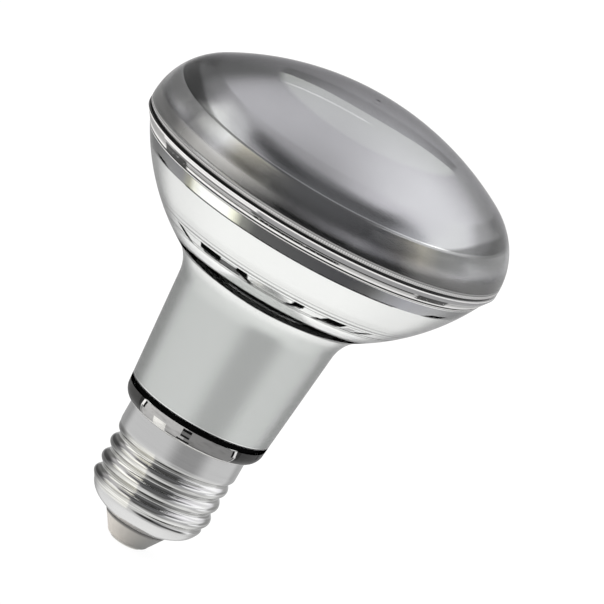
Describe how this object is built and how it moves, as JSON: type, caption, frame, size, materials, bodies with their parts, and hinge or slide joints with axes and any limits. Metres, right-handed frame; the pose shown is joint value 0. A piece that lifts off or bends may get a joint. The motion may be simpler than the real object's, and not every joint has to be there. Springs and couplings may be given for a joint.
{
  "type": "reflector bulb",
  "caption": "Reflector lamp with a domed satin front, a mirrored glass bowl on a tapered neck and a rolled screw cap.",
  "frame": {"origin": "centre of the centre contact's end face", "axes": "+Z along the lamp's axis from the screw cap to the front lens; -Y faces the viewer"},
  "size_m": [0.08, 0.08, 0.1057],
  "materials": {
    "lens_glass": "clear glass over a satin silver inner face",
    "bowl_glass": "clear glass, mirrored and satin silvered inside",
    "silicone": "translucent grey bead",
    "cap_metal": "rolled sheet with fine turning marks",
    "insulator_plastic": "grey moulded thermoset",
    "contact_metal": "tinned brass",
    "housing_plastic": "smoke grey moulding",
    "sink_aluminium": "drawn sheet",
    "pad_silicone": "soft sheet",
    "led_board_white": "white solder mask on aluminium",
    "led_phosphor": "yellow phosphor gel",
    "screw_steel": "zinc plated",
    "board_laminate": "green solder mask",
    "ferrite": "sintered ferrite",
    "bobbin_plastic": "black moulding",
    "copper": "enamelled copper under tape",
    "can_sleeve": "shrink sleeve",
    "resistor_body": "lacquered body",
    "film_box": "potted box",
    "chip_package": "moulded package",
    "wire_brown": "insulated wire",
    "wire_blue": "insulated wire",
    "wire_white": "insulated wire"
  },
  "bodies": {
    "root": {"front_lens": "lens_glass", "seam_adhesive": "silicone", "reflector_glass": "bowl_glass", "cap_shell": "cap_metal", "cap_insulator": "insulator_plastic", "centre_contact": "contact_metal", "driver_housing": "housing_plastic", "heat_sink": "sink_aluminium", "thermal_pad": "pad_silicone", "led_board": "led_board_white", "led_chips": "led_phosphor", "led_board_screws": "screw_steel", "driver_board": "board_laminate", "transformer_core": "ferrite", "transformer_bobbin": "bobbin_plastic", "transformer_winding": "copper", "bulk_capacitor": "can_sleeve", "output_capacitor": "can_sleeve", "filter_choke": "ferrite", "fuse_resistor": "resistor_body", "film_capacitor": "film_box", "bridge_rectifier": "chip_package", "control_chip": "chip_package", "live_wire": "wire_brown", "neutral_wire": "wire_blue", "led_wires": "wire_white"}
  },
  "joints": []
}
